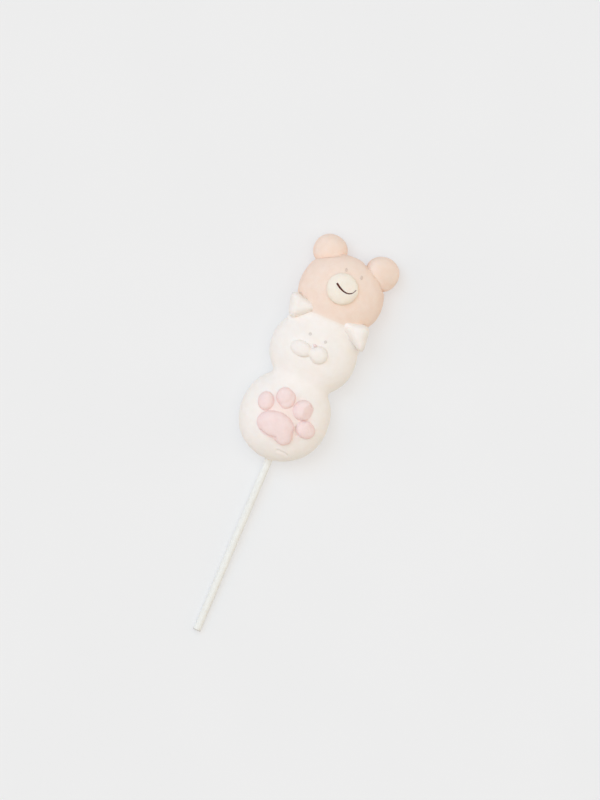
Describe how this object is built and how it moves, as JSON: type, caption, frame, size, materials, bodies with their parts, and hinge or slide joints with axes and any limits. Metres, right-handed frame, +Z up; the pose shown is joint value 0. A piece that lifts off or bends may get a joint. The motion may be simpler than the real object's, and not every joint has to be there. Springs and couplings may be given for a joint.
{
  "type": "marshmallow pop",
  "caption": "Marshmallow pop with a bear head, a cat head and a cat's paw in a row on a white paper stick, lying flat with the faces up.",
  "frame": {"origin": "on the table, under the middle of the pop's box", "axes": "+Y along the stick towards the bear's ears, +Z up out of the faces, +X to the right of the faces"},
  "size_m": [0.0426, 0.1844, 0.0275],
  "materials": {
    "white_marshmallow": "soft matte white sugar foam",
    "peach_marshmallow": "soft matte peach sugar foam",
    "cream_marshmallow": "soft matte cream sugar foam",
    "pink_marshmallow": "soft matte pale pink sugar foam",
    "white_paper": "matte rolled paper"
  },
  "bodies": {
    "root": {"stick": "white_paper", "paw_ball": "white_marshmallow", "paw_pad": "pink_marshmallow", "paw_toe_1": "pink_marshmallow", "paw_toe_2": "pink_marshmallow", "paw_toe_3": "pink_marshmallow", "paw_toe_4": "pink_marshmallow", "cat_head": "white_marshmallow", "cat_ear_left": "white_marshmallow", "cat_ear_right": "white_marshmallow", "cat_muzzle": "white_marshmallow", "bear_head": "peach_marshmallow", "bear_ear_left": "peach_marshmallow", "bear_ear_right": "peach_marshmallow", "bear_muzzle": "cream_marshmallow"}
  },
  "joints": []
}
